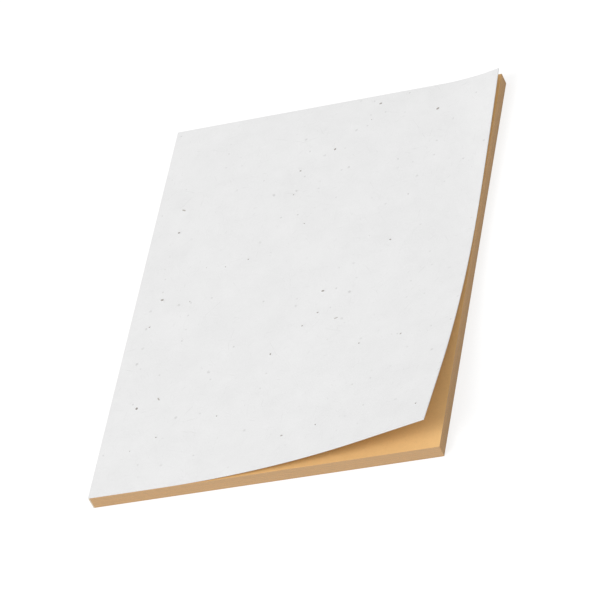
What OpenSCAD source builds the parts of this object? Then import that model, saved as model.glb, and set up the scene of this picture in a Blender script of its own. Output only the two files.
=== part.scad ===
// Glue bound notepad: a block of kraft sheets under a seed paper cover, on a kraft card back.
// The pad lies on its back. X runs from spine to fore edge, Y from foot to head, Z up.
// The origin is the centre of the underside. The cover curls up at the foot's fore corner.

/* [Pad] */
// Width of the pad, from spine to fore edge
pad_w = 148; // [105:1:210]
// Height of the pad, from foot to head
pad_h = 210; // [148:1:297]
// Number of kraft sheets in the block
sheet_count = 50; // [25:5:80]
// Thickness of one kraft sheet
sheet_t = 0.102; // [0.08:0.002:0.15]
// Thickness of the card back
back_t = 0.5; // [0.3:0.05:1.2]

/* [Cover and spine] */
// Thickness of the seed paper cover
cover_t = 0.4; // [0.25:0.05:0.6]
// Thickness of the film of glue along the spine
glue_t = 0.5; // [0.2:0.05:1]

/* [Curl of the front cover] */
// Distance from the spine to where the bend starts on the foot edge
curl_start = 29; // [15:1:60]
// Angle between the foot edge and the line that the bend starts on
curl_angle = 49; // [40:1:60]
// Radius of the bend
curl_r = 257; // [200:1:500]
// Angle that the paper has turned through where the bend ends and runs on straight
curl_turn = 15; // [0:1:20]
// Height that the head's fore corner is lifted
head_lift = 3.1; // [0:0.1:5]
// Width of the strip along the fore edge that lifts towards the head
head_lift_w = 27; // [15:1:45]

/* [Mesh of the curl] */
// Facets across the front cover, from spine to fore edge
curl_columns = 28; // [12:1:36]
// Facets up the front cover, from foot to head
curl_rows = 24; // [12:1:32]

/* [Hidden] */

block_t = sheet_count * sheet_t;
cover_z = back_t + block_t;
pad_t = cover_z + cover_t;
spine_x = -pad_w / 2;
foot_y = -pad_h / 2;
block_x = spine_x + glue_t;
block_w = pad_w - glue_t;
// Arc length of the bend, measured square to the line that it starts on
curl_arc = curl_r * curl_turn * PI / 180;
// Curvature that gives the head corner its lift over the lifted strip
head_curve = 2 * head_lift / pow(head_lift_w, 2);
// The brushed film is rounded along its two outer edges
film_r = glue_t * 0.6;
film_facets = 48;

// Direction square to the bend's start line, towards the foot's fore corner
function curl_side() = [sin(curl_angle), -cos(curl_angle)];

// Distance of a point on the flat sheet past the bend's start line
function curl_past(u, v) = (u - curl_start) * curl_side().x + v * curl_side().y;

// Angle in degrees that the sheet has turned through, that far past the start line
function curl_turned(d) = min(max(d, 0), curl_arc) / curl_r * 180 / PI;

// Distance covered along the pad, that far past the start line
function curl_run(d) = d <= 0 ? d
    : curl_r * sin(curl_turned(d)) + max(d - curl_arc, 0) * cos(curl_turn);

// Height reached, that far past the start line
function curl_rise(d) = curl_r * (1 - cos(curl_turned(d))) + max(d - curl_arc, 0) * sin(curl_turn);

// Distance of a point past the inner edge of the strip that lifts towards the head
function head_past(u) = max(u - (pad_w - head_lift_w), 0);

// Curvature of that strip, which grows from nothing at the foot
function head_bend(v) = head_curve * pow(v / pad_h, 3);

// Slope of the sheet at a point, along X and Y
function sheet_slope(u, v) = tan(curl_turned(curl_past(u, v))) * curl_side()
    + [head_bend(v) * head_past(u), 0];

// Point of the sheet's outer face above the flat point u from the spine, v from the foot
function outer_point(u, v) = let(
        d = curl_past(u, v),
        shift = (curl_run(d) - d) * curl_side(),
        s = head_past(u),
        k = head_bend(v))
    [
        spine_x + u + shift.x - k * k * pow(s, 3) / 6,
        foot_y + v + shift.y,
        pad_t + curl_rise(d) + k * pow(s, 2) / 2
    ];

// The same point on the sheet's inner face, one thickness below square to the sheet
function inner_point(u, v) = let(
        slope = sheet_slope(u, v),
        down = [slope.x, slope.y, -1] / norm([slope.x, slope.y, 1]))
    outer_point(u, v) + cover_t * down;

function column_u(i) = pad_w * i / curl_columns;
function row_v(j) = pad_h * j / curl_rows;

// Stack of kraft sheets, trimmed flush on three sides and glued on the fourth
module page_block() {
    color("#c9a06f")
    translate([block_x, foot_y, back_t])
    cube([block_w, pad_h, block_t]);
}

// Stiff kraft card that the block is glued up on, trimmed with it
module back_card() {
    color("#b98f5e")
    translate([block_x, foot_y, 0])
    cube([block_w, pad_h, back_t]);
}

// Section of the glue film: flat against the sheets, rounded on its two outer edges
module film_section() {
    translate([spine_x + film_r, 0])
    square([glue_t - film_r, cover_z]);
    translate([spine_x, film_r])
    square([film_r, cover_z - 2 * film_r]);
    intersection() {
        for (z = [film_r, cover_z - film_r])
            translate([spine_x + film_r, z])
            circle(r = film_r, $fn = film_facets);
        translate([spine_x, 0])
        square([glue_t, cover_z]);
    }
}

// Film of padding glue that holds the edges of the sheets, the card and the cover together
module spine_glue() {
    color("#d8d2c2")
    translate([0, -foot_y, 0])
    rotate([90, 0, 0])
    linear_extrude(height = pad_h)
    film_section();
}

// Curled cover, a thin shell between the sheet's outer and inner faces
module front_cover() {
    across = curl_columns + 1;
    layer = across * (curl_rows + 1);
    outer = [for (j = [0:curl_rows]) for (i = [0:curl_columns]) outer_point(column_u(i), row_v(j))];
    inner = [for (j = [0:curl_rows]) for (i = [0:curl_columns]) inner_point(column_u(i), row_v(j))];
    // Each cell is cut along the diagonal that runs with the bend
    cells = [for (j = [0:curl_rows - 1]) for (i = [0:curl_columns - 1]) j * across + i];
    top = [for (c = cells) each [[c, c + across + 1, c + 1], [c, c + across, c + across + 1]]];
    bottom = [for (f = top) [f[0] + layer, f[2] + layer, f[1] + layer]];
    // Points round the sheet's edge, seen from above, against the clock
    rim = concat(
        [for (i = [0:curl_columns - 1]) i],
        [for (j = [0:curl_rows - 1]) j * across + curl_columns],
        [for (i = [curl_columns:-1:1]) curl_rows * across + i],
        [for (j = [curl_rows:-1:1]) j * across]);
    edge = [for (k = [0:len(rim) - 1]) let(a = rim[k], b = rim[(k + 1) % len(rim)])
        each [[a, b, b + layer], [a, b + layer, a + layer]]];
    color("#eeedea")
    polyhedron(points = concat(outer, inner), faces = concat(top, bottom, edge));
}

page_block();
back_card();
spine_glue();
front_cover();
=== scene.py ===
"""Finishes a glue bound notepad: curled seed paper cover, kraft sheets, card back, spine and stage."""

import math
import random

import bpy
from mathutils import Matrix, Quaternion, Vector


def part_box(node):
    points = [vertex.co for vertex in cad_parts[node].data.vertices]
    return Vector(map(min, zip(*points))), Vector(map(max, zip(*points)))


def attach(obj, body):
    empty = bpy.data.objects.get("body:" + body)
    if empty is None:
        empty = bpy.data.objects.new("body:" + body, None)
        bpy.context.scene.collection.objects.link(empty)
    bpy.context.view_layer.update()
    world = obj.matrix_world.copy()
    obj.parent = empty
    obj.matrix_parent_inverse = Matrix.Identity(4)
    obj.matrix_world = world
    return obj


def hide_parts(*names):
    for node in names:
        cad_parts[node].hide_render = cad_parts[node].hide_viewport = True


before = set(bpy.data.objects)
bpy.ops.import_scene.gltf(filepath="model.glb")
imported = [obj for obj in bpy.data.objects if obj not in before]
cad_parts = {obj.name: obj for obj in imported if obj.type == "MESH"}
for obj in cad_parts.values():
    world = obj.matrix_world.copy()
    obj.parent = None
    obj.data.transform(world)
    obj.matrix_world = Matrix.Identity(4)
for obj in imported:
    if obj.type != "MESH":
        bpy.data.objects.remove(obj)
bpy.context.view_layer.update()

bl_info = {
    "name": "Seed Paper Notepad",
    "version": (1, 0, 0),
    "blender": (4, 5, 0),
    "location": "View3D > Sidebar > Notepad",
    "description": "Builds a notepad's cover, seeds, sheets, card back and spine, and its stage",
    "category": "Add Mesh",
}

MM = 0.001
BLOCK_LOW, BLOCK_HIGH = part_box("page_block")
CARD_LOW, CARD_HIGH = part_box("back_card")
# The closed pad's outline: the film of glue is its left side, and the trimmed block its other three
SPINE_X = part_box("spine_glue")[0].x
FORE_X = BLOCK_HIGH.x
FOOT_Y = BLOCK_LOW.y
HEAD_Y = BLOCK_HIGH.y
BLOCK_TOP = BLOCK_HIGH.z
PAD_W = FORE_X - SPINE_X
PAD_H = HEAD_Y - FOOT_Y

# Fibres lie five ways, in radians from X, and bend a little. The last value is how soft their edges are
FIBRE_TURNS = (0.2, 0.9, 1.5, 2.1, 2.8)
FIBRE_BEND = 1.5
FIBRE_EDGE = 0.08
# Lines along a cut edge run on for about this far before they fade
CUT_LINE_LENGTH = 400 * MM
# A bevel rounds edges of more than the first angle, and edges of less than the second are shaded smooth
SHARP = math.radians(60)
SMOOTH = math.radians(30)
# A face counts as level where more than this part of its normal is upright
LEVEL = 0.9
# How far the blade and the press round the cover's and the card's edges, and the card's plies
COVER_ROUNDING = 0.07 * MM
CARD_ROUNDING = 0.12 * MM
CARD_PLY = 0.12 * MM

# Seeds keep clear of the cover's edges and of one another
SEED_MARGIN = 4 * MM
SEED_SPACING = 7 * MM
# Smallest and largest seed of a kind, and the least and most that one is sunk, as a share of its height
SEED_SIZES = (0.75, 1.2)
SEED_SINKING = (0.2, 0.6)
# Pulp stands up round a seed, so many millimetres past a seed of full size
MOUND_RIM = 0.45
MOUND_HEIGHT = 0.05 * MM
# Facets round and up a pebble, few because there are many of them
PEBBLE_SEGMENTS = 14
PEBBLE_RINGS = 7
# Start of the random draw that trims the sheets, and the part of their pitch that is paper
TRIM_DRAW = 3
SHEET_SHARE = 0.95

# The floor is a large sheet a hair below the pad
FLOOR_SIZE = 12
FLOOR_GAP = 0.02 * MM
# Of its colour, the shares that light the pad and that the camera sees, and the glow that makes it white
FLOOR_BOUNCE = 0.66
FLOOR_SEEN = 0.35
FLOOR_GLOW = 0.75
# Even light, and a square lamp of so many metres and watts
WORLD_STRENGTH = 0.67
KEY_PLACE = Vector((-2.5, -3.2, 4.3))
KEY_SIZE = 2.8
KEY_POWER = 172
# The camera was fitted to the corners of the photographed pad. It looks at a point near the pad's middle,
# stands off from there along a line, and has a sensor of so many millimetres
CAMERA_AIM = Vector((0, -8.7 * MM, 3 * MM))
CAMERA_BACK = Vector((0.35768, -0.6842, 0.63557)).normalized()
SENSOR_WIDTH = 36
# The nearest and the farthest that it sees, in metres
CLIP_NEAR = 0.1
CLIP_FAR = 30


def linear(hex_colour):
    """Linear RGB of an sRGB hex colour."""
    parts = [int(hex_colour[i:i + 2], 16) / 255 for i in (1, 3, 5)]
    return tuple(c / 12.92 if c <= 0.04045 else ((c + 0.055) / 1.055) ** 2.4 for c in parts)


def length_property(name, description, millimetres):
    """A length in metres, shown in the scene's unit."""
    return bpy.props.FloatProperty(
        name=name, description=description, default=millimetres * MM, min=0, unit="LENGTH", precision=5)


def angle_property(name, description, degrees):
    """An angle in radians, shown in degrees."""
    return bpy.props.FloatProperty(
        name=name, description=description, default=math.radians(degrees), subtype="ANGLE")


def colour_property(name, description, hex_colour):
    """A colour with its sRGB hex value as the default."""
    return bpy.props.FloatVectorProperty(
        name=name, description=description, default=linear(hex_colour), subtype="COLOR", min=0, max=1)


class NotepadCover(bpy.types.PropertyGroup):
    """The seed paper cover and its curl."""

    thickness: length_property("Thickness", "Thickness of the seed paper", 0.4)
    curl_start: length_property(
        "Curl start", "From the spine to where the bend starts on the foot edge", 29)
    curl_angle: angle_property(
        "Curl angle", "Between the foot edge and the line that the bend starts on", 49)
    curl_radius: length_property("Curl radius", "Radius of the bend", 257)
    curl_turn: angle_property("Curl turn", "Angle that the paper turns through in the bend", 15)
    head_lift: length_property("Head lift", "Height that the head's fore corner is lifted", 3.1)
    head_strip: length_property("Head strip", "Width of the strip that lifts towards the head", 27)
    cell: length_property("Cell", "Size of the mesh's cells", 2)
    paper: colour_property("Seed paper", "Pulp of the cover", "#EDEDED")
    fleck: colour_property("Flecks", "Husk and bark caught in the pulp", "#77746F")


class NotepadSeeds(bpy.types.PropertyGroup):
    """The seeds pressed into the cover."""

    count: bpy.props.IntProperty(
        name="Seeds on a side", description="Seeds that show on each side", default=38, min=0)
    draw: bpy.props.IntProperty(
        name="Draw", description="Start of the random draw that scatters the seeds", default=7)
    dark: colour_property("Dark seed", "Round seeds", "#97928C")
    brown: colour_property("Brown seed", "Oval seeds and chips of seed", "#A5A09A")
    straw: colour_property("Husk", "Long pale husks", "#B8B4AE")


class NotepadSheets(bpy.types.PropertyGroup):
    """The kraft sheets, the card back and the glue."""

    sheets: bpy.props.IntProperty(
        name="Sheets", description="Number of kraft sheets in the block", default=50, min=1)
    trim: length_property("Trim", "How far a sheet's edge stands in from the cut", 0.035)
    face: colour_property("Kraft face", "Unbleached kraft paper, seen on a sheet's face", "#F6C787")
    # The cut edge is darker than the face partly as the paper's own look and partly as painted shade from
    # between the sheets
    edge: colour_property("Kraft edge", "The same paper where it is cut", "#DFB98D")
    card: colour_property("Card", "Kraft card of the back", "#D9AD79")
    glue: colour_property("Glue", "Dried padding glue", "#E6DCC8")


class NotepadStage(bpy.types.PropertyGroup):
    """The floor, the light and the camera."""

    floor: colour_property("Floor", "Colour of the floor", "#F4F4F4")
    lens: bpy.props.FloatProperty(
        name="Lens", description="Focal length of the camera", default=239.6, unit="CAMERA")
    distance: length_property("Distance", "From the camera to the middle of the pad", 1612.7)
    camera_roll: angle_property("Roll", "How far the camera is tilted to one side", -27.75)


def settings():
    """The four groups of values, as the panel shows them."""
    scene = bpy.context.scene
    return scene.notepad_cover, scene.notepad_seeds, scene.notepad_sheets, scene.notepad_stage


def add_node(tree, kind, values=None, inputs=None):
    """Adds a node, sets its own values, and fills its inputs with values or other nodes' outputs."""
    node = tree.nodes.new(kind)
    for name, value in (values or {}).items():
        setattr(node, name, value)
    for name, value in (inputs or {}).items():
        if isinstance(value, bpy.types.NodeSocket):
            tree.links.new(value, node.inputs[name])
        else:
            node.inputs[name].default_value = value
    return node


def new_material(name):
    """An empty node material with its tree and output."""
    material = bpy.data.materials.new(name)
    material.use_nodes = True
    tree = material.node_tree
    tree.nodes.clear()
    return material, tree, add_node(tree, "ShaderNodeOutputMaterial")


def finish_material(tree, output, colour, height, depth, roughness, **sockets):
    """Closes a material with a principled shader, its relief given in metres."""
    bump = add_node(
        tree, "ShaderNodeBump", inputs={"Strength": 1.0, "Distance": depth, "Height": height})
    shader = add_node(
        tree, "ShaderNodeBsdfPrincipled",
        inputs={"Base Color": colour, "Roughness": roughness, "Normal": bump.outputs[0], **sockets})
    tree.links.new(shader.outputs[0], output.inputs["Surface"])


def toned(colour, share):
    """A colour made darker or paler by a share of itself."""
    return tuple(min(1, c * share) for c in colour)


def object_place(tree, stretch=(1, 1, 1), turn=0.0):
    """Object coordinates that make a pattern so many times longer on each axis, and turn it about Z."""
    place = add_node(tree, "ShaderNodeTexCoord").outputs["Object"]
    return add_node(
        tree, "ShaderNodeMapping", {"vector_type": "TEXTURE"},
        {"Vector": place, "Rotation": (0, 0, turn), "Scale": stretch}).outputs[0]


def patches(tree, place, size, detail=2.0, roughness=0.5, low=0.0, high=1.0, bent=0.0):
    """Soft patches about size metres across, from 0 to 1. Close low and high make them crisp."""
    patch = add_node(
        tree, "ShaderNodeTexNoise",
        inputs={"Vector": place, "Scale": 1 / size, "Detail": detail, "Roughness": roughness,
                "Distortion": bent})
    return add_node(
        tree, "ShaderNodeMapRange",
        inputs={"Value": patch.outputs[0], "From Min": low, "From Max": high}).outputs[0]


def lay_over(tree, below, above, pattern, strength=1.0):
    """Lays one colour over another where a pattern shows, no more than the given strength."""
    share = add_node(
        tree, "ShaderNodeMath", {"operation": "MULTIPLY"}, {0: pattern, 1: strength}).outputs[0]
    below, above = (c if isinstance(c, bpy.types.NodeSocket) else (*c, 1) for c in (below, above))
    return add_node(
        tree, "ShaderNodeMix", {"data_type": "RGBA"}, {"Factor": share, 6: below, 7: above}).outputs[2]


def fibres(tree, length, width, amount):
    """Short fibres that lie all ways, from 0 to 1: stretched patches with only their crests kept."""
    low = 1 - amount
    total = 0.0
    for turn in FIBRE_TURNS:
        place = object_place(tree, (length / width, 1, 1), turn)
        crest = patches(
            tree, place, width, detail=1.0, low=low, high=low + FIBRE_EDGE, bent=FIBRE_BEND)
        total = add_node(
            tree, "ShaderNodeMath", {"operation": "MAXIMUM"}, {0: total, 1: crest}).outputs[0]
    return total


def flecks(tree, spacing, radius, share):
    """Small ragged flecks, one to a cell of the given spacing, of which only a share shows."""
    place = object_place(tree)
    ragged = add_node(
        tree, "ShaderNodeTexNoise", inputs={"Vector": place, "Scale": 1 / radius, "Detail": 1.0})
    # The cells are pulled out of shape by more than a fleck's radius, so that none is round
    tug = 2.5 * radius
    pull = add_node(
        tree, "ShaderNodeVectorMath", {"operation": "MULTIPLY_ADD"},
        {0: ragged.outputs["Color"], 1: (tug, tug, 0), 2: place}).outputs[0]
    cell = add_node(
        tree, "ShaderNodeTexVoronoi", {"voronoi_dimensions": "2D"},
        {"Vector": pull, "Scale": 1 / spacing})
    # A fleck fades from 0.6 to 1.4 times its radius. Distances are in cells
    core, rim = radius * 0.6 / spacing, radius * 1.4 / spacing
    near = add_node(
        tree, "ShaderNodeMapRange",
        inputs={"Value": cell.outputs["Distance"], "From Min": core, "From Max": rim,
                "To Min": 1.0, "To Max": 0.0}).outputs[0]
    # A cell's own random colour says whether its fleck shows, and how strongly
    split = add_node(tree, "ShaderNodeSeparateColor", inputs={0: cell.outputs["Color"]}).outputs
    chosen = add_node(
        tree, "ShaderNodeMath", {"operation": "LESS_THAN"}, {0: split[0], 1: share}).outputs[0]
    strength = add_node(
        tree, "ShaderNodeMath", {"operation": "MULTIPLY"}, {0: split[1], 1: near}).outputs[0]
    return add_node(
        tree, "ShaderNodeMath", {"operation": "MULTIPLY"}, {0: strength, 1: chosen}).outputs[0]


def seed_paper():
    """Seed paper: pulp screened and pressed by hand. Matt, softly uneven, with fibres and husk."""
    cover = settings()[0]
    material, tree, output = new_material("seed_paper")
    place = object_place(tree)
    # Pulp lies unevenly on the screen: cloudy patches of about 12 mm, hardly darker than the rest
    cloud = patches(tree, place, 12 * MM, detail=3.0, low=0.3, high=0.7)
    thin_pulp = toned(cover.paper, 0.965)
    colour = lay_over(tree, thin_pulp, tuple(cover.paper), cloud)
    # Fibres are 0.03 mm wide and are drawn ten times as wide, so that they show
    fibre = fibres(tree, 5 * MM, 0.3 * MM, amount=0.35)
    pale_fibre = toned(cover.paper, 1.06)
    colour = lay_over(tree, colour, pale_fibre, fibre, strength=0.45)
    # Here and there a strand of bark or stem shows grey through the pulp
    strand = fibres(tree, 9 * MM, 0.6 * MM, amount=0.29)
    colour = lay_over(tree, colour, tuple(cover.fleck), strand, strength=0.09)
    for spacing, radius, share in ((8 * MM, 0.4 * MM, 0.28), (11 * MM, 0.6 * MM, 0.2)):
        fleck = flecks(tree, spacing, radius, share)
        colour = lay_over(tree, colour, tuple(cover.fleck), fleck, strength=0.24)
    # The felt leaves a grain of 0.7 mm, and the fibres stand out by half as much
    grain = patches(tree, place, 0.7 * MM, detail=4.0, roughness=0.65)
    fibre_relief = 0.5
    height = add_node(
        tree, "ShaderNodeMath", {"operation": "MULTIPLY_ADD"},
        {0: fibre, 1: fibre_relief, 2: grain}).outputs[0]
    finish_material(
        tree, output, colour, height, depth=0.05 * MM, roughness=0.92, **{"Specular IOR Level": 0.3})
    return material


def kraft_face():
    """Unbleached kraft paper, machine made: matt brown, softly clouded, with short darker fibres."""
    sheets = settings()[2]
    material, tree, output = new_material("kraft_paper")
    place = object_place(tree)
    cloud = patches(tree, place, 4 * MM, detail=4.0, roughness=0.6, low=0.3, high=0.7)
    thick_pulp = toned(sheets.face, 0.95)
    colour = lay_over(tree, thick_pulp, tuple(sheets.face), cloud)
    fibre = fibres(tree, 2.2 * MM, 0.2 * MM, amount=0.37)
    dark_fibre = toned(sheets.face, 0.8)
    colour = lay_over(tree, colour, dark_fibre, fibre, strength=0.35)
    grain = patches(tree, place, 0.4 * MM, detail=3.0)
    finish_material(
        tree, output, colour, grain, depth=0.03 * MM, roughness=0.88, **{"Specular IOR Level": 0.3})
    return material


def cut_edges(name, colour, sheet):
    """Guillotined edges of paper: level lines of painted shade between the sheets, one for every few
    sheets, duller than the face.
    """
    material, tree, output = new_material(name)
    # Lines of eight sheets, three and one are drawn, so that some show from afar
    # The lines' dark colour is painted shade in the gaps between the sheets
    painted_gap_shade = toned(colour, 0.3)
    shade = tuple(colour)
    for sheets, depth in ((8, 0.06), (3, 0.1), (1, 0.16)):
        thick = sheets * sheet
        level = object_place(tree, (CUT_LINE_LENGTH / thick, CUT_LINE_LENGTH / thick, 1))
        line = patches(tree, level, thick, detail=1.0, low=0.32, high=0.68)
        shade = lay_over(tree, shade, painted_gap_shade, line, strength=depth)
    # Where the blade has pressed the stack, its edge is duller in soft patches
    pressed = patches(tree, object_place(tree), 14 * MM, low=0.35, high=0.65)
    dull = toned(colour, 0.86)
    shade = lay_over(tree, shade, dull, pressed, strength=0.35)
    finish_material(
        tree, output, shade, line, depth=0.05 * MM, roughness=0.9, **{"Specular IOR Level": 0.25})
    return material


def kraft_card():
    """Kraft card: the same brown pulp, pressed thicker and a little smoother."""
    sheets = settings()[2]
    material, tree, output = new_material("kraft_card")
    place = object_place(tree)
    cloud = patches(tree, place, 8 * MM, detail=3.0, low=0.3, high=0.7)
    thick_pulp = toned(sheets.card, 0.92)
    colour = lay_over(tree, thick_pulp, tuple(sheets.card), cloud)
    fibre = fibres(tree, 4 * MM, 0.35 * MM, amount=0.4)
    dark_fibre = toned(sheets.card, 0.75)
    colour = lay_over(tree, colour, dark_fibre, fibre, strength=0.5)
    grain = patches(tree, place, 0.8 * MM, detail=3.0)
    finish_material(
        tree, output, colour, grain, depth=0.03 * MM, roughness=0.8, **{"Specular IOR Level": 0.35})
    return material


def padding_glue():
    """Dried padding glue: a brushed, milky film through which the sheets' edges show faintly."""
    sheets = settings()[2]
    material, tree, output = new_material("padding_glue")
    # Brush strokes run along the spine, 30 times as long as wide
    stroke = patches(tree, object_place(tree, (1, 30, 1)), 0.5 * MM)
    # The sheets' edges below them are level lines, drawn three sheets thick so that they show
    line = patches(tree, object_place(tree, (100, 100, 1)), 0.3 * MM, detail=1.0, low=0.35, high=0.65)
    # The darker colour between the lines is painted shade in the gaps between the sheets
    painted_shade_below = toned(sheets.edge, 0.7)
    below = lay_over(tree, painted_shade_below, tuple(sheets.edge), line)
    # A fifth of their colour shows through the film, and a little over half where it is thin
    thin = patches(tree, object_place(tree), 7 * MM, low=0.4, high=0.75)
    least, more = 0.2, 0.35
    bare = add_node(
        tree, "ShaderNodeMath", {"operation": "MULTIPLY_ADD"}, {0: thin, 1: more, 2: least}).outputs[0]
    colour = lay_over(tree, tuple(sheets.glue), below, bare)
    finish_material(
        tree, output, colour, stroke, depth=0.06 * MM, roughness=0.42, **{"Coat Weight": 0.15})
    return material


def seed_coat(name, colour):
    """Seed coat: dry, smooth and slightly waxy, with a fine mottle."""
    material, tree, output = new_material(name)
    mottle = patches(tree, object_place(tree), 0.25 * MM)
    dark, pale = toned(colour, 0.7), toned(colour, 1.25)
    shade = lay_over(tree, dark, pale, mottle)
    finish_material(tree, output, shade, mottle, depth=0.02 * MM, roughness=0.55)
    return material


def deselect():
    """Leaves nothing selected, as every operator acts on all that is."""
    if bpy.context.object and bpy.context.object.mode != "OBJECT":
        bpy.ops.object.mode_set(mode="OBJECT")
    bpy.ops.object.select_all(action="DESELECT")


def select_only(pieces):
    """Selects some objects and nothing else. The first is the active one."""
    deselect()
    for piece in pieces:
        piece.select_set(True)
    bpy.context.view_layer.objects.active = pieces[0]


def named(name, size=None):
    """Names and sizes the object that was just added, puts its place into its mesh, and returns it."""
    piece = bpy.context.object
    piece.name = piece.data.name = name
    if size:
        piece.scale = size
    select_only([piece])
    bpy.ops.object.transform_apply(location=True, rotation=True, scale=True)
    return piece


def joined(name, parts):
    """Joins like parts into one piece."""
    select_only(parts)
    bpy.ops.object.join()
    return named(name)


def add_box(name, low, high):
    """A cuboid between two corners, as a primitive cube at its size and place."""
    deselect()
    bpy.ops.mesh.primitive_cube_add(size=1, location=(low + high) / 2)
    return named(name, high - low)


def apply_modifier(piece, kind, **values):
    """Adds a modifier with its values, and applies it."""
    select_only([piece])
    modifier = piece.modifiers.new(kind.lower(), kind)
    for name, value in values.items():
        setattr(modifier, name, value)
    bpy.ops.object.modifier_apply(modifier=modifier.name)


def round_edges(piece, width, segments):
    """Rounds a piece's sharp edges a little, as a blade or a press leaves them."""
    apply_modifier(
        piece, "BEVEL", width=width, segments=segments, limit_method="ANGLE", angle_limit=SHARP)


def dress_faces(piece, face, edge):
    """Gives a piece's level faces one material and its upright ones another."""
    piece.data.materials.append(face)
    piece.data.materials.append(edge)
    for polygon in piece.data.polygons:
        polygon.material_index = 0 if abs(polygon.normal.z) > LEVEL else 1


def finish_piece(piece, body, replaced=()):
    """Smooths a piece, puts it on its body, and hides the solids that it stands for."""
    select_only([piece])
    bpy.ops.object.shade_smooth_by_angle(angle=SMOOTH)
    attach(piece, body)
    if replaced:
        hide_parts(*replaced)
    deselect()


def bend(piece, start, side, reach, angle, group=""):
    """Bends a flat piece upwards from start as far as reach along side, and straight past it."""
    empty = bpy.data.objects.new("bend_origin", None)
    bpy.context.scene.collection.objects.link(empty)
    up = Vector((0, 0, 1))
    turn = Matrix((side, up, side.cross(up))).transposed().to_4x4()
    empty.matrix_world = Matrix.Translation(start) @ turn
    bpy.context.view_layer.update()
    # The modifier's limits are shares of the piece's own length along that side
    along = [(v.co - start).dot(side) for v in piece.data.vertices]
    nearest, farthest = min(along), max(along)
    limits = [(d - nearest) / (farthest - nearest) for d in (0, reach)]
    apply_modifier(
        piece, "SIMPLE_DEFORM", deform_method="BEND", deform_axis="Z", origin=empty,
        limits=limits, angle=angle, vertex_group=group)
    bpy.data.objects.remove(empty)


def surface_point(piece, x, y, down):
    """Where a line straight down, or up, through x and y meets a piece, and the face's normal there."""
    far = 200 * MM
    start = Vector((x, y, far if down else -far))
    hit, place, normal, _ = piece.ray_cast(start, Vector((0, 0, -1 if down else 1)))
    if not hit:
        raise RuntimeError(f"nothing of {piece.name} lies at {x:.4f}, {y:.4f}")
    return place, normal


class NOTEPAD_OT_cover(bpy.types.Operator):
    """Make the seed paper cover, curled up at the foot's fore corner"""

    bl_idname = "notepad.cover"
    bl_label = "Seed Paper Cover"

    def execute(self, context):
        cover = settings()[0]
        deselect()
        outer_z = BLOCK_TOP + cover.thickness
        bpy.ops.mesh.primitive_grid_add(
            x_subdivisions=round(PAD_W / cover.cell), y_subdivisions=round(PAD_H / cover.cell), size=1,
            location=((SPINE_X + FORE_X) / 2, (FOOT_Y + HEAD_Y) / 2, outer_z))
        piece = named("seed_paper_cover", (PAD_W, PAD_H, 1))
        # The fore edge lifts more and more towards the head
        group = piece.vertex_groups.new(name="towards_head")
        for v in piece.data.vertices:
            group.add([v.index], ((v.co.y - FOOT_Y) / PAD_H) ** 3, "REPLACE")
        strip = cover.head_strip
        lift_turn = 2 * cover.head_lift / strip
        start = Vector((FORE_X - strip, FOOT_Y, outer_z))
        bend(piece, start, Vector((1, 0, 0)), strip, lift_turn, group.name)
        # The curl turns on a slanting line, square to the side that it rises to
        side = Vector((math.sin(cover.curl_angle), -math.cos(cover.curl_angle), 0))
        start = Vector((SPINE_X + cover.curl_start, FOOT_Y, outer_z))
        bend(piece, start, side, cover.curl_radius * cover.curl_turn, cover.curl_turn)
        piece.vertex_groups.clear()
        apply_modifier(piece, "SOLIDIFY", thickness=cover.thickness, offset=-1)
        round_edges(piece, COVER_ROUNDING, segments=1)
        piece.data.materials.append(seed_paper())
        finish_piece(piece, "cover", ("front_cover",))
        return {"FINISHED"}


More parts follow.
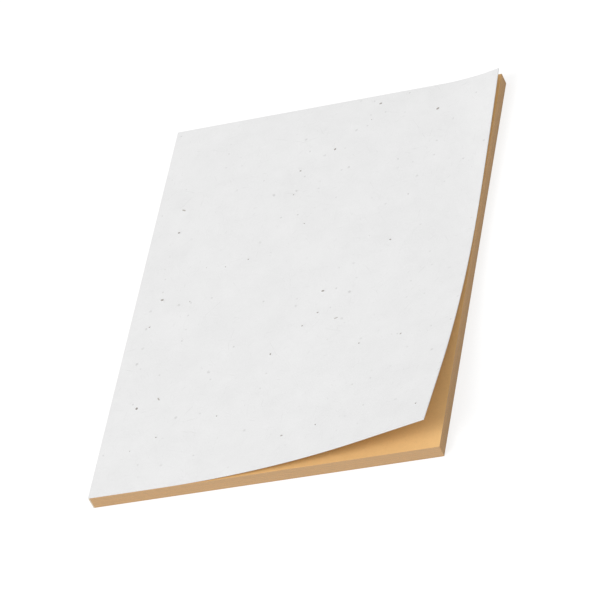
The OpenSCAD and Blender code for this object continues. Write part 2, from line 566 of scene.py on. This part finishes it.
class NOTEPAD_OT_seeds(bpy.types.Operator):
    """Press seeds into both sides of the cover"""

    bl_idname = "notepad.seeds"
    bl_label = "Seeds in the Cover"

    def execute(self, context):
        seeds = settings()[1]
        cover = bpy.data.objects["seed_paper_cover"]
        draw = random.Random(seeds.draw)
        # Each kind has its half length, half width and half height in millimetres, and how common it is
        kinds = (
            (seed_coat("dark_seed_coat", seeds.dark), (0.66, 0.5, 0.2), 3),
            (seed_coat("brown_seed_coat", seeds.brown), (0.75, 0.52, 0.18), 5),
            (seed_coat("husk", seeds.straw), (1.1, 0.4, 0.14), 3),
            (seed_coat("seed_chip", seeds.brown), (0.5, 0.38, 0.12), 8))
        parts = []
        for down in (True, False):
            for x, y in self.scatter(seeds.count, draw):
                kind = draw.choices(kinds, [k[2] for k in kinds])[0]
                parts.extend(self.add_seed(cover, kind, x, y, down, draw))
        finish_piece(joined("pressed_seeds", parts), "cover")
        return {"FINISHED"}

    def scatter(self, count, draw):
        """Places on the cover, kept clear of its edges and at least the seeds' spacing apart."""
        places = []
        while len(places) < count:
            place = Vector((
                draw.uniform(SPINE_X + SEED_MARGIN, FORE_X - SEED_MARGIN),
                draw.uniform(FOOT_Y + SEED_MARGIN, HEAD_Y - SEED_MARGIN)))
            if all((place - other).length > SEED_SPACING for other in places):
                places.append(place)
        return places

    def add_seed(self, cover, kind, x, y, down, draw):
        """One seed, lying flat on the sheet and sunk into it, in a low mound of its pulp."""
        material, radii, _ = kind
        place, normal = surface_point(cover, x, y, down)
        size = draw.uniform(*SEED_SIZES) * MM
        turn = normal.to_track_quat("Z", "Y") @ Quaternion((0, 0, 1), draw.uniform(0, math.pi))
        sunk = radii[2] * size * draw.uniform(*SEED_SINKING)
        long, wide, high = (r * size for r in radii)
        mound = (long + MOUND_RIM * size, wide + MOUND_RIM * size, MOUND_HEIGHT)
        return (
            self.add_pebble(place - normal * sunk, turn, (long, wide, high), material),
            self.add_pebble(place, turn, mound, cover.data.materials[0]))

    def add_pebble(self, place, turn, radii, material):
        """A flattened ball with few faces."""
        deselect()
        bpy.ops.mesh.primitive_uv_sphere_add(
            segments=PEBBLE_SEGMENTS, ring_count=PEBBLE_RINGS, radius=1)
        pebble = bpy.context.object
        pebble.matrix_world = Matrix.LocRotScale(place, turn, Vector(radii))
        pebble.data.materials.append(material)
        return pebble


class NOTEPAD_OT_sheets(bpy.types.Operator):
    """Stack the kraft sheets, each cut a hair shorter or longer than the next"""

    bl_idname = "notepad.sheets"
    bl_label = "Kraft Sheets"

    def execute(self, context):
        sheets = settings()[2]
        draw = random.Random(TRIM_DRAW)
        pitch = (BLOCK_HIGH.z - BLOCK_LOW.z) / sheets.sheets
        face, edge = kraft_face(), cut_edges("kraft_cut_edge", sheets.edge, pitch)
        stack = []
        for i in range(sheets.sheets):
            top = BLOCK_HIGH.z - i * pitch
            trim = [draw.uniform(0, sheets.trim) for _ in range(3)]
            # A hair of air stays between the sheets
            low = Vector((BLOCK_LOW.x, BLOCK_LOW.y + trim[0], top - SHEET_SHARE * pitch))
            high = Vector((BLOCK_HIGH.x - trim[1], BLOCK_HIGH.y - trim[2], top))
            sheet = add_box(f"sheet_{i}", low, high)
            dress_faces(sheet, face, edge)
            stack.append(sheet)
        finish_piece(joined("kraft_sheets", stack), "pad", ("page_block",))
        return {"FINISHED"}


class NOTEPAD_OT_card(bpy.types.Operator):
    """Make the card back, its cut edges slightly pressed round"""

    bl_idname = "notepad.card"
    bl_label = "Card Back"

    def execute(self, context):
        sheets = settings()[2]
        piece = add_box("kraft_card_back", CARD_LOW, CARD_HIGH)
        round_edges(piece, CARD_ROUNDING, segments=3)
        # The card is pressed of plies, which show at its edge as sheets do, in lines of painted shade
        dress_faces(piece, kraft_card(), cut_edges("card_cut_edge", sheets.card, CARD_PLY))
        finish_piece(piece, "pad", ("back_card",))
        return {"FINISHED"}


class NOTEPAD_OT_glue(bpy.types.Operator):
    """Give the film along the spine its dried glue"""

    bl_idname = "notepad.glue"
    bl_label = "Spine Glue"

    def execute(self, context):
        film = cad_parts["spine_glue"]
        film.data.materials.clear()
        film.data.materials.append(padding_glue())
        return {"FINISHED"}


def seen_by_camera(tree):
    """From 0 to 1: rays that show the background to the camera, straight, in gloss or through glass."""
    path = add_node(tree, "ShaderNodeLightPath").outputs
    seen = path["Is Camera Ray"]
    for ray in ("Is Glossy Ray", "Is Transmission Ray"):
        seen = add_node(
            tree, "ShaderNodeMath", {"operation": "MAXIMUM"}, {0: seen, 1: path[ray]}).outputs[0]
    return seen


def floor_material(colour):
    """Matt white paper sweep: the camera sees it nearly white, and the pad's soft shadow stays on it."""
    material, tree, output = new_material("paper_sweep")
    seen = seen_by_camera(tree)
    matt, shown = (
        add_node(tree, "ShaderNodeBsdfDiffuse", inputs={"Color": (*toned(colour, share), 1)}).outputs[0]
        for share in (FLOOR_BOUNCE, FLOOR_SEEN))
    glow = add_node(
        tree, "ShaderNodeEmission", inputs={"Color": (1, 1, 1, 1), "Strength": FLOOR_GLOW}).outputs[0]
    white = add_node(tree, "ShaderNodeAddShader", inputs={0: shown, 1: glow}).outputs[0]
    mixed = add_node(tree, "ShaderNodeMixShader", inputs={0: seen, 1: matt, 2: white})
    tree.links.new(mixed.outputs[0], output.inputs["Surface"])
    return material


def light_world():
    """Even light from all round, and plain white for the camera, gloss and glass past the floor."""
    world = bpy.data.worlds.new("studio")
    bpy.context.scene.world = world
    world.use_nodes = True
    tree = world.node_tree
    tree.nodes.clear()
    seen = seen_by_camera(tree)
    level = add_node(
        tree, "ShaderNodeMapRange", inputs={"Value": seen, "To Min": WORLD_STRENGTH}).outputs[0]
    light = add_node(tree, "ShaderNodeBackground", inputs={"Color": (1, 1, 1, 1), "Strength": level})
    add_node(tree, "ShaderNodeOutputWorld", inputs={"Surface": light.outputs[0]})


class NOTEPAD_OT_stage(bpy.types.Operator):
    """Lay the floor, hang the light and set the camera"""

    bl_idname = "notepad.stage"
    bl_label = "Stage"

    def execute(self, context):
        stage = settings()[3]
        deselect()
        bpy.ops.mesh.primitive_plane_add(size=FLOOR_SIZE, location=(0, 0, -FLOOR_GAP))
        floor = named("floor")
        floor.data.materials.append(floor_material(stage.floor))
        light_world()
        self.add_key()
        self.add_camera(stage)
        context.scene.view_settings.view_transform = "Standard"
        deselect()
        return {"FINISHED"}

    def add_key(self):
        """A large square lamp, to the left of the foot and high up, that faces the pad."""
        deselect()
        bpy.ops.object.light_add(type="AREA", location=KEY_PLACE)
        lamp = bpy.context.object
        lamp.name = "key"
        lamp.rotation_euler = (-KEY_PLACE).to_track_quat("-Z", "Y").to_euler()
        lamp.data.size = KEY_SIZE
        lamp.data.energy = KEY_POWER

    def add_camera(self, stage):
        """The camera stands to the right of the foot, high up, and is tilted to its left."""
        data = bpy.data.cameras.new("camera")
        data.lens = stage.lens
        data.sensor_width = SENSOR_WIDTH
        data.clip_start = CLIP_NEAR
        data.clip_end = CLIP_FAR
        camera = bpy.data.objects.new("camera", data)
        bpy.context.scene.collection.objects.link(camera)
        place = Matrix.Translation(CAMERA_AIM + CAMERA_BACK * stage.distance)
        level = CAMERA_BACK.to_track_quat("Z", "Y").to_matrix().to_4x4()
        camera.matrix_world = place @ level @ Matrix.Rotation(stage.camera_roll, 4, "Z")
        bpy.context.scene.camera = camera


class NOTEPAD_PT_panel(bpy.types.Panel):
    """Lists the values and the steps"""

    bl_label = "Notepad"
    bl_idname = "NOTEPAD_PT_panel"
    bl_space_type = "VIEW_3D"
    bl_region_type = "UI"
    bl_category = "Notepad"

    def draw(self, context):
        column = self.layout.column()
        for group in settings():
            for name in group.__annotations__:
                column.prop(group, name)
        for step in STEPS:
            column.operator(step.bl_idname)


GROUPS = {
    "notepad_cover": NotepadCover,
    "notepad_seeds": NotepadSeeds,
    "notepad_sheets": NotepadSheets,
    "notepad_stage": NotepadStage,
}
STEPS = (
    NOTEPAD_OT_cover,
    NOTEPAD_OT_seeds,
    NOTEPAD_OT_sheets,
    NOTEPAD_OT_card,
    NOTEPAD_OT_glue,
    NOTEPAD_OT_stage,
)
CLASSES = (*GROUPS.values(), *STEPS, NOTEPAD_PT_panel)


def register():
    for item in CLASSES:
        bpy.utils.register_class(item)
    for name, group in GROUPS.items():
        setattr(bpy.types.Scene, name, bpy.props.PointerProperty(type=group))


def unregister():
    for name in GROUPS:
        delattr(bpy.types.Scene, name)
    for item in reversed(CLASSES):
        bpy.utils.unregister_class(item)


def main():
    """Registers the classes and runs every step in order."""
    register()
    bpy.ops.notepad.cover()
    bpy.ops.notepad.seeds()
    bpy.ops.notepad.sheets()
    bpy.ops.notepad.card()
    bpy.ops.notepad.glue()
    bpy.ops.notepad.stage()


if __name__ == "__main__":
    main()
